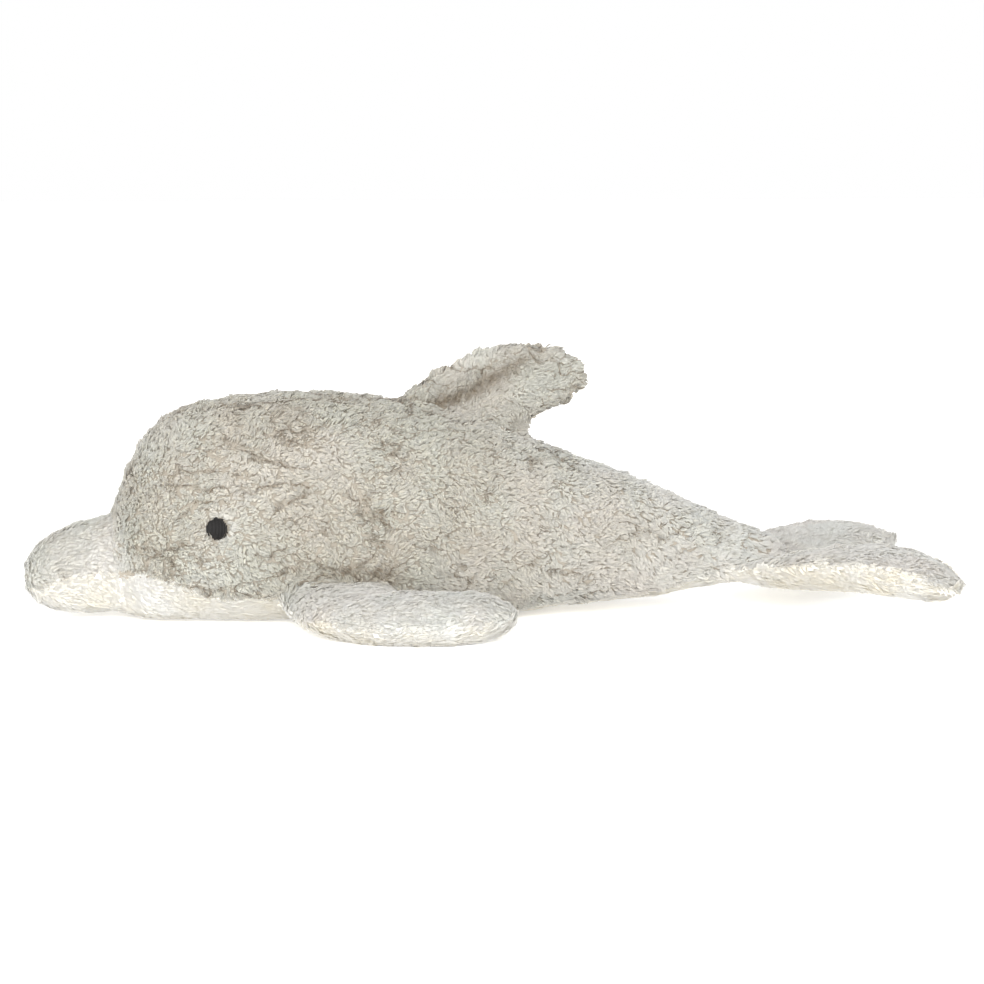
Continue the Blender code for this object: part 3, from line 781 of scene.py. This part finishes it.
def finish_panel(name, pile, flow, seed, cloth, paler=evenly, creased=evenly):
    """Turns the skin part of one panel into the finished piece that stands for it."""
    settings = bpy.context.scene.dolphin
    material, slot = cloth
    skin = bpy.data.objects["skin_" + name]
    tufts = grow_pile(name, pile, flow, paler, creased, seed)
    place = read(skin.data.vertices, "co", np.float32, 3).astype(float)
    # Painted shade on the backing in the fin's fold and in shut-in places, and darker in the forehead's
    # grain.
    shade = (1 - creased(place)) * (1 - read(skin.data.attributes["crease"].data, "value", np.float32))
    skin.data.attributes.new("shade", "FLOAT", "POINT").data.foreach_set("value", shade)
    only(skin)
    wall = skin.modifiers.new("backing", "SOLIDIFY")
    wall.thickness = settings.cover.backing
    wall.offset = -1
    bpy.ops.object.modifier_apply(modifier=wall.name)
    skin.data.materials.clear()
    backing = "cream" if slot == "cream_plush" else "pale" if pile == settings.limb else "grey"
    skin.data.materials.append(bpy.data.materials[backing + "_backing"])
    tufts.data.materials.append(material)
    only(tufts, skin)
    bpy.ops.object.join()
    skin.name = skin.data.name = name + "_plush"
    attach(skin, "root")
    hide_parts(name)


def grey_cloth():
    """The grey plush, made once, and its slot."""
    colours = bpy.context.scene.dolphin.colours
    found = bpy.data.materials.get("grey_plush_pile")
    return found or plush_pile(
        "grey_plush_pile", colours.grey_root, colours.grey_tip, colours.grey_pale,
        "FAF5F0", "F9FBF7", 0.002,
    ), "grey_plush"


def cream_cloth():
    """The cream plush, made once, and its slot."""
    colours = bpy.context.scene.dolphin.colours
    found = bpy.data.materials.get("cream_plush_pile")
    return found or plush_pile(
        "cream_plush_pile", colours.cream_root, colours.cream_tip, colours.cream_tip,
        "FBF6EA", "FFFFFF", 0.004,
    ), "cream_plush"


class DOLPHIN_OT_sew_cover(bpy.types.Operator):
    """Draws one stuffed skin inside all the panels and parts it along their seams"""

    bl_idname = "dolphin.sew_cover"
    bl_label = "Sew the cover"

    def execute(self, context):
        settings = context.scene.dolphin
        cover = self.one_shell(context, settings.cover)
        panel_at = panel_finder()
        panel = [panel_at(vertex.co) for vertex in cover.data.vertices]
        cover.data.attributes.new("panel", "INT", "POINT").data.foreach_set("value", panel)
        self.deepen_fold(cover, np.array(panel))
        self.plump_flippers(cover, np.array(panel))
        self.draw_in(cover, np.array(panel), settings.cover.depth + settings.cover.swell)
        self.stuff(cover, settings.cover)
        self.crease(cover)
        self.measure_seams(cover)
        kept = cover.data.copy()
        kept.name = "cover"
        self.part(cover, panel)
        colours = settings.colours
        knitted_backing("grey_backing", colours.grey_backing, colours.grey_root)
        knitted_backing("pale_backing", colours.pale_backing, colours.grey_root)
        knitted_backing("cream_backing", colours.cream_backing, colours.cream_root)
        return {"FINISHED"}

    def one_shell(self, context, sizes):
        """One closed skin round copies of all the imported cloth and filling."""
        copies = []
        for name in PANELS + FILLINGS:
            copy = bpy.data.objects.new("dolphin_cover", frame["nodes"][name].data.copy())
            context.scene.collection.objects.link(copy)
            copies.append(copy)
        only(*copies)
        bpy.ops.object.join()
        cover = context.view_layer.objects.active
        cover.data.remesh_voxel_size = sizes.cell
        bpy.ops.object.voxel_remesh()
        bpy.ops.object.mode_set(mode="EDIT")
        bpy.ops.mesh.select_all(action="SELECT")
        bpy.ops.mesh.separate(type="LOOSE")
        bpy.ops.object.mode_set(mode="OBJECT")
        shells = sorted(context.selected_objects, key=lambda shell: len(shell.data.vertices))
        cover = shells.pop()
        for shell in shells:
            bpy.data.objects.remove(shell)
        only(cover)
        return cover

    def deepen_fold(self, cover, panel):
        """Presses the fin's left side in along its fold, which the long pile would fill."""
        place = read(cover.data.vertices, "co", np.float32, 3).astype(float)
        away, share = fold_of_fin(place)
        press = FOLD_DEPTH * np.exp(-((away / FOLD_WIDTH) ** 2)) * (1 - share**3)
        place[:, 1] += np.where(panel == PANELS.index("dorsal_fin_left"), press, 0)
        cover.data.vertices.foreach_set("co", place.ravel())
        cover.data.update()

    def plump_flippers(self, cover, panel):
        """Lifts the outer half of each flipper's top by up to 5 mm, so that its end stays blunt."""
        place = read(cover.data.vertices, "co", np.float32, 3).astype(float)
        for name in ("flipper_left_upper", "flipper_right_upper"):
            low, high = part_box(name)
            along = (place[:, 0] - low.x) / (high.x - low.x)
            lift = sum(rise * np.clip((along - start) / over, 0, 1) for start, over, rise in FLIPPER_RISES)
            place[:, 2] += np.where(panel == PANELS.index(name), lift, 0)
        cover.data.vertices.foreach_set("co", place.ravel())
        cover.data.update()

    def measure_seams(self, cover):
        """Notes how far each point of the skin lies from the nearest seam."""
        mesh = cover.data
        place = read(mesh.vertices, "co", np.float32, 3).astype(float)
        panel = read(mesh.attributes["panel"].data, "value", np.int32)
        edges = read(mesh.edges, "vertices", np.int32, 2)
        crossing = edges[panel[edges[:, 0]] != panel[edges[:, 1]]]
        middles = place[crossing].mean(1)
        away = np.linalg.norm(place - middles[nearest(place, middles)], axis=1)
        mesh.attributes.new("seam", "FLOAT", "POINT").data.foreach_set("value", away)

    def draw_in(self, cover, panel, depth):
        """Moves the skin in by DEPTH, or by less on the flippers and where it would meet its other side."""
        solid = BVHTree.FromObject(cover, bpy.context.evaluated_depsgraph_get())
        group = cover.vertex_groups.new(name="padding")
        for vertex in cover.data.vertices:
            far = solid.ray_cast(vertex.co - vertex.normal * 1e-4, -vertex.normal)[3] or 1.0
            share = 0.25 if PANELS[panel[vertex.index]].startswith("flipper") else 1.0
            group.add([vertex.index], min(share, 0.36 * far / depth), "REPLACE")
        move = cover.modifiers.new("draw_in", "DISPLACE")
        move.strength = -depth
        move.mid_level = 0
        move.vertex_group = group.name
        ease = cover.modifiers.new("ease", "SMOOTH")
        ease.factor = 0.5
        ease.iterations = 3
        bpy.ops.object.modifier_apply(modifier=move.name)
        bpy.ops.object.modifier_apply(modifier=ease.name)

    def stuff(self, cover, sizes):
        """Swells the skin between its seams by a cloth simulation under pressure."""
        mesh = cover.data
        start = read(mesh.vertices, "co", np.float32, 3).astype(float)
        panel = read(mesh.attributes["panel"].data, "value", np.int32)
        edges = read(mesh.edges, "vertices", np.int32, 2)
        seam = np.zeros(len(start))
        seam[edges[panel[edges[:, 0]] != panel[edges[:, 1]]].ravel()] = 1
        held = cover.vertex_groups.new(name="seams")
        held.add([int(k) for k in np.flatnonzero(seam)], 1.0, "REPLACE")
        cloth = cover.modifiers.new("stuffing", "CLOTH")
        cloth.settings.vertex_group_mass = held.name
        cloth.settings.use_pressure = True
        cloth.settings.uniform_pressure_force = sizes.pressure
        cloth.settings.mass = 0.01
        cloth.settings.tension_stiffness = sizes.stiffness
        cloth.settings.compression_stiffness = sizes.stiffness
        cloth.settings.shear_stiffness = sizes.stiffness
        cloth.settings.bending_stiffness = sizes.stiffness / 10
        cloth.settings.effector_weights.gravity = 0
        for k in range(1, 21):
            bpy.context.scene.frame_set(k)
        bpy.ops.object.modifier_apply(modifier=cloth.name)
        bpy.context.scene.frame_set(1)
        swollen = read(mesh.vertices, "co", np.float32, 3).astype(float)
        move = swollen - start
        far = np.linalg.norm(move, axis=1, keepdims=True)
        move *= sizes.swell * np.tanh(far / sizes.swell) / np.maximum(far, 1e-9)
        mesh.vertices.foreach_set("co", (start + move).ravel())
        mesh.update()

    def crease(self, cover):
        """Notes how shut in each point of the skin is: the share of short rays that meet the skin. The pile
        and its backing get painted shade from it.
        """
        ray_count = 16
        reach = 0.013
        off_skin = 0.0015
        mesh = cover.data
        solid = BVHTree.FromObject(cover, bpy.context.evaluated_depsgraph_get())
        rays = []
        for k in range(ray_count):
            height = math.sqrt(1 - (k + 0.5) / ray_count)
            turn = k * math.pi * (3 - math.sqrt(5))
            flat = math.sqrt(1 - height * height)
            rays.append(Vector((flat * math.cos(turn), flat * math.sin(turn), height)))
        shut = []
        for vertex in mesh.vertices:
            frame_here = vertex.normal.to_track_quat("Z", "Y")
            start = vertex.co + vertex.normal * off_skin
            hits = [solid.ray_cast(start, frame_here @ ray, reach)[0] for ray in rays]
            shut.append(sum(hit is not None for hit in hits) / ray_count)
        mesh.attributes.new("crease", "FLOAT", "POINT").data.foreach_set("value", shut)

    def part(self, cover, panel):
        """Separates the skin at the seams into one part for each panel."""
        cover.data.materials.clear()
        for name in PANELS:
            cover.data.materials.append(bpy.data.materials.new("skin_" + name))
        for polygon in cover.data.polygons:
            polygon.material_index = panel[polygon.vertices[0]]
        only(cover)
        bpy.ops.object.mode_set(mode="EDIT")
        bpy.ops.mesh.select_all(action="SELECT")
        bpy.ops.mesh.separate(type="MATERIAL")
        bpy.ops.object.mode_set(mode="OBJECT")
        for skin in bpy.context.selected_objects:
            skin.name = skin.material_slots[skin.data.polygons[0].material_index].material.name


class DOLPHIN_OT_side_panels(bpy.types.Operator):
    """Long grey pile on both sides, combed from the forehead to the tail, and paler towards it with painted
    backlight
    """

    bl_idname = "dolphin.side_panels"
    bl_label = "Side panels"

    def execute(self, context):
        low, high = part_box("beak_upper")
        pole = (high.x, 0.0, low.z)
        body_low, body_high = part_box("side_panel_left")
        span = body_high.x - body_low.x

        def paler(points):
            # Painted light: paler on the rear and along the back's ridge, as if backlit, and on the shaded
            # lower body. Paler too by the beak and at the tail's end, and round the eyes where the pile is
            # brushed aside.
            along = (points[:, 0] - body_low.x) / span
            rear = np.clip((along - 0.5) / 0.3, 0, 1)
            near_beak = np.clip(1.3 - np.linalg.norm(points - np.array(pole), axis=1) / 0.034, 0, 1)
            tail_end = np.clip((along - 0.88) / 0.10, 0, 1)
            ridge = np.clip(1.3 - np.abs(points[:, 1]) / 0.018, 0, 1) * np.clip((along - 0.42) / 0.1, 0, 1)
            low_down = np.clip((0.045 - points[:, 2]) / 0.03, 0, 1)
            rear = rear * rear * (3 - 2 * rear)
            ring = sum(self.round_eye(points, name) for name in EYES)
            return 0.5 * rear + 0.7 * near_beak + 0.4 * ridge + 0.35 * low_down + 0.3 * tail_end + 0.4 * ring

        def rough_forehead(points):
            ahead = np.clip((low.x + 0.10 - points[:, 0]) / 0.03, 0, 1)
            ahead *= np.clip((points[:, 2] - 0.045) / 0.02, 0, 1)
            crown = np.clip((points[:, 2] - 0.1) / 0.02, 0, 1)
            crown *= np.clip((low.x + 0.30 - points[:, 0]) / 0.04, 0, 1)
            grains = np.clip(0.4 + 0.8 * wavy(points, 0.0036, 25), 0, 1.8)
            return 0.17 * grains * np.maximum(ahead, 0.8 * crown)

        for seed, name in enumerate(("side_panel_left", "side_panel_right")):
            finish_panel(
                name, context.scene.dolphin.side,
                lambda points: fanned(points, pole, (1.0, 0.0, -0.28), 0.13),
                21 + seed, grey_cloth(), paler=paler, creased=rough_forehead,
            )
        return {"FINISHED"}

    def round_eye(self, points, name):
        """1 at the rim of an eye, where the pile is brushed aside, and 0 from 4 mm outside it."""
        low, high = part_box(name)
        away = np.linalg.norm(points - np.array((low + high) / 2), axis=1) - (high.x - low.x) / 2
        return np.exp(-((away / 0.0022) ** 2))


class DOLPHIN_OT_belly_panel(bpy.types.Operator):
    """Smooth cream pile underneath"""

    bl_idname = "dolphin.belly_panel"
    bl_label = "Belly panel"

    def execute(self, context):
        low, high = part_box("beak_lower")
        pole = (high.x - 0.01, 0.0, high.z)
        finish_panel(
            "belly_panel", context.scene.dolphin.cream,
            lambda points: fanned(points, pole, (1.0, 0.0, 0.0), 0.10),
            31, cream_cloth(),
        )
        return {"FINISHED"}


class DOLPHIN_OT_beak(bpy.types.Operator):
    """The beak's two panels, combed back from its tip"""

    bl_idname = "dolphin.beak"
    bl_label = "Beak"

    def execute(self, context):
        piles = context.scene.dolphin
        low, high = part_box("beak_upper")
        pole = (low.x - 0.012, 0.0, low.z)
        for seed, (name, pile, cloth) in enumerate((
            ("beak_upper", piles.limb, grey_cloth()),
            ("beak_lower", piles.cream, cream_cloth()),
        )):
            finish_panel(
                name, pile, lambda points: fanned(points, pole, (1.0, 0.0, 0.0), 0.05), 41 + seed, cloth,
                paler=lambda points: evenly(points) - 0.25,
            )
        return {"FINISHED"}


class DOLPHIN_OT_flippers(bpy.types.Operator):
    """The flippers' panels, combed outwards and back from where they join the body"""

    bl_idname = "dolphin.flippers"
    bl_label = "Flippers"

    def execute(self, context):
        piles = context.scene.dolphin
        for seed, (side, way) in enumerate((("left", -1), ("right", 1))):
            low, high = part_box(f"flipper_{side}_upper")
            inner = high.y if way < 0 else low.y
            pole = (low.x + 0.004, inner, low.z)
            for layer, pile, cloth in (
                ("upper", piles.limb, grey_cloth()), ("under", piles.cream, cream_cloth())
            ):
                finish_panel(
                    f"flipper_{side}_{layer}", pile,
                    lambda points: fanned(points, pole, (1.0, way * 0.35, 0.0), 0.12),
                    51 + seed, cloth,
                )
        return {"FINISHED"}


class DOLPHIN_OT_flukes(bpy.types.Operator):
    """The flukes' panels, combed from the tail to their tips"""

    bl_idname = "dolphin.flukes"
    bl_label = "Flukes"

    def execute(self, context):
        piles = context.scene.dolphin
        for seed, (side, way) in enumerate((("left", -1), ("right", 1))):
            low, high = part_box(f"fluke_{side}_upper")
            pole = (low.x - 0.02, 0.0, low.z)
            for layer, pile, cloth in (
                ("upper", piles.limb, grey_cloth()), ("under", piles.cream, cream_cloth())
            ):
                finish_panel(
                    f"fluke_{side}_{layer}", pile,
                    lambda points: fanned(points, pole, (0.8, way * 0.6, 0.0), 0.14),
                    61 + seed, cloth, paler=lambda points: evenly(points) - 0.15,
                )
        return {"FINISHED"}


class DOLPHIN_OT_dorsal_fin(bpy.types.Operator):
    """The fin's two panels, combed from its root to its tip"""

    bl_idname = "dolphin.dorsal_fin"
    bl_label = "Dorsal fin"

    def execute(self, context):
        low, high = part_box("dorsal_fin_left")
        pole = (low.x, 0.0, low.z - 0.01)

        # How deep in the fin's fold each point lies, in grains. It shortens the tufts there and gives them
        # and the backing painted shade.
        def folded(points):
            away, share = fold_of_fin(points)
            sharp = np.exp(-((away / 0.0028) ** 2)) * np.sqrt(1 - share)
            grains = np.clip(0.8 + 0.3 * wavy(points, 0.0026, 24), 0.3, 1.3)
            return np.clip((sharp + 0.35 * np.exp(-((away / 0.007) ** 2))) * grains, 0, 1)

        # The fold is painted darker and less pale: painted shade.
        for seed, (name, creased) in enumerate((("dorsal_fin_left", folded), ("dorsal_fin_right", evenly))):
            finish_panel(
                name, context.scene.dolphin.fin,
                lambda points: fanned(points, pole, (1.0, 0.0, 0.25), 0.12),
                71 + seed, grey_cloth(), paler=lambda points: -0.4 * creased(points), creased=creased,
            )
        return {"FINISHED"}


class DOLPHIN_OT_eyes(bpy.types.Operator):
    """Round eyes in satin stitch, thread beside thread over a low dome"""

    bl_idname = "dolphin.eyes"
    bl_label = "Eyes"

    def execute(self, context):
        settings = context.scene.dolphin
        material = embroidery_thread(settings.colours.thread)
        for name in EYES:
            eye = self.stitched(name, settings.eyes)
            eye.data.materials.append(material)
            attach(eye, "root")
            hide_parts(name)
        return {"FINISHED"}

    def stitched(self, name, sizes):
        dice = np.random.default_rng(81)
        low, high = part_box(name)
        middle = (low + high) / 2
        radius = (high.x - low.x) / 2
        side = 1 if middle.y > 0 else -1
        mesh = frame["nodes"][name].data
        top = max(mesh.vertices, key=lambda vertex: side * vertex.co.y).co
        level = Vector((1, 0, 0))
        bases = [polygon for polygon in mesh.polygons if side * polygon.normal.y > 0.5]
        normal = sum((polygon.normal * polygon.area for polygon in bases), Vector()).normalized()
        level = (level - normal * level.dot(normal)).normalized()
        upright = normal.cross(level) * (1 if normal.cross(level).z > 0 else -1)
        centre = middle + normal * (top - middle).dot(normal)
        threads = int(2 * radius / sizes.thread)
        tubes = []
        for k in range(threads):
            x = (k + 0.5) / threads * 2 - 1
            half = math.sqrt(1 - x * x)
            ends = half + dice.uniform(-0.10, 0.08, 2)
            ends[0] -= 0.4 if -0.8 < x < -0.4 else 0.0
            points = []
            for j in range(13):
                z = float(ends[j // 7]) * math.sin((j / 12 - 0.5) * math.pi)
                height = sizes.dome * (1 - (x * x + z * z)) - 0.0012 * min(1, abs(z) / half) ** 6
                points.append(centre + radius * (x * level + z * upright) + normal * height)
            tubes.append(points)
        curve = bpy.data.curves.new(name + "_threads", "CURVE")
        curve.dimensions = "3D"
        curve.bevel_depth = sizes.thread * 0.56
        curve.bevel_resolution = 1
        curve.use_fill_caps = True
        for points in tubes:
            spline = curve.splines.new("POLY")
            spline.points.add(len(points) - 1)
            spline.points.foreach_set("co", [value for point in points for value in (*point, 1.0)])
        threads_object = bpy.data.objects.new(name + "_threads", curve)
        bpy.context.scene.collection.objects.link(threads_object)
        only(threads_object)
        bpy.ops.object.convert(target="MESH")
        threads_object = bpy.context.view_layer.objects.active
        bpy.ops.mesh.primitive_cylinder_add(
            vertices=40, radius=radius * 0.78, depth=0.003, location=centre - normal * 0.0012,
            rotation=normal.to_track_quat("Z", "Y").to_euler(),
        )
        pad = bpy.context.view_layer.objects.active
        bpy.ops.object.transform_apply(location=True, rotation=True, scale=True)
        only(pad, threads_object)
        bpy.ops.object.join()
        eye = bpy.context.view_layer.objects.active
        eye.name = eye.data.name = name + "_stitching"
        eye.data.shade_smooth()
        return eye


class DOLPHIN_OT_filling(bpy.types.Operator):
    """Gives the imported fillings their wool"""

    bl_idname = "dolphin.filling"
    bl_label = "Filling"

    def execute(self, context):
        wool = wool_wadding(context.scene.dolphin.colours.wool)
        for name in FILLINGS:
            slots = frame["nodes"][name].material_slots
            for slot in slots:
                slot.material = wool
        return {"FINISHED"}


class DOLPHIN_OT_stage(bpy.types.Operator):
    """A white floor and backdrop, soft lamps and the camera"""

    bl_idname = "dolphin.stage"
    bl_label = "Stage"

    def execute(self, context):
        settings = context.scene.dolphin
        stage = settings.stage
        only()
        bpy.ops.mesh.primitive_plane_add(size=12.0, location=(0, 0, -0.0002))
        floor = context.view_layer.objects.active
        floor.name = "studio_floor"
        floor.data.materials.append(studio_white(settings.colours.floor))
        self.lamp("key_lamp", (0.25, -0.55, 1.75), 1.7, stage.key)
        self.lamp("front_lamp", (-0.4, -2.3, 0.6), 1.15, stage.fill)
        self.backdrop(context, stage.sky)

        camera = bpy.data.objects.new("camera", bpy.data.cameras.new("camera"))
        context.scene.collection.objects.link(camera)
        turn, height = stage.azimuth, stage.elevation
        back = Vector((
            math.sin(turn) * math.cos(height), -math.cos(turn) * math.cos(height), math.sin(height)
        ))
        camera.location = Vector(stage.target) + back * stage.distance
        camera.rotation_euler = (-back).to_track_quat("-Z", "Y").to_euler()
        camera.data.lens = stage.lens
        context.scene.camera = camera
        context.scene.view_settings.view_transform = "Standard"
        return {"FINISHED"}

    def lamp(self, name, place, size, power):
        """A square soft lamp aimed at the dolphin."""
        data = bpy.data.lights.new(name, "AREA")
        data.energy = power
        data.size = size
        lamp = bpy.data.objects.new(name, data)
        lamp.location = place
        lamp.rotation_euler = (Vector((0, 0, 0.05)) - lamp.location).to_track_quat("-Z", "Y").to_euler()
        bpy.context.scene.collection.objects.link(lamp)

    def backdrop(self, context, strength):
        """White to the camera and in reflections, and plain light of its own strength elsewhere."""
        world = bpy.data.worlds.new("studio")
        context.scene.world = world
        world.use_nodes = True
        tree = world.node_tree
        tree.nodes.clear()
        path = add_node(tree, "ShaderNodeLightPath")
        seen = add_node(
            tree, "ShaderNodeMath", {"operation": "MAXIMUM"},
            _0=path.outputs["Is Camera Ray"], _1=path.outputs["Is Glossy Ray"],
        )
        seen = add_node(
            tree, "ShaderNodeMath", {"operation": "MAXIMUM"},
            _0=seen.outputs["Value"], _1=path.outputs["Is Transmission Ray"],
        )
        light = add_node(tree, "ShaderNodeBackground", Color=linear("FFFFFF"), Strength=strength)
        white = add_node(tree, "ShaderNodeBackground", Color=linear("FFFFFF"), Strength=1.0)
        mix = add_node(
            tree, "ShaderNodeMixShader",
            Fac=seen.outputs["Value"], _1=light.outputs["Background"], _2=white.outputs["Background"],
        )
        add_node(tree, "ShaderNodeOutputWorld", Surface=mix.outputs["Shader"])


OPERATORS = (
    DOLPHIN_OT_sew_cover,
    DOLPHIN_OT_side_panels,
    DOLPHIN_OT_belly_panel,
    DOLPHIN_OT_beak,
    DOLPHIN_OT_flippers,
    DOLPHIN_OT_flukes,
    DOLPHIN_OT_dorsal_fin,
    DOLPHIN_OT_eyes,
    DOLPHIN_OT_filling,
    DOLPHIN_OT_stage,
)


class DOLPHIN_PT_panel(bpy.types.Panel):
    """Lists the settings and the steps in order"""

    bl_idname = "DOLPHIN_PT_panel"
    bl_label = "Plush Dolphin"
    bl_space_type = "VIEW_3D"
    bl_region_type = "UI"
    bl_category = "Plush Dolphin"

    def draw(self, context):
        settings = context.scene.dolphin
        for operator in OPERATORS:
            self.layout.operator(operator.bl_idname)
        for group in ("cover", "side", "cream", "limb", "fin", "colours", "eyes", "stage"):
            box = self.layout.box()
            box.label(text=group.capitalize())
            values = getattr(settings, group)
            for key in values.bl_rna.properties.keys():
                if key not in ("rna_type", "name"):
                    box.prop(values, key)


CLASSES = (
    CoverSettings, SidePile, FinPile, LimbPile, CreamPile, ColourSettings, EyeSettings, StageSettings,
    DolphinSettings, *OPERATORS, DOLPHIN_PT_panel,
)


def register():
    for item in CLASSES:
        bpy.utils.register_class(item)
    bpy.types.Scene.dolphin = PointerProperty(type=DolphinSettings)


def unregister():
    del bpy.types.Scene.dolphin
    for item in reversed(CLASSES):
        bpy.utils.unregister_class(item)


def main():
    register()
    for operator in OPERATORS:
        group, call = operator.bl_idname.split(".")
        getattr(getattr(bpy.ops, group), call)()


if __name__ == "__main__":
    main()
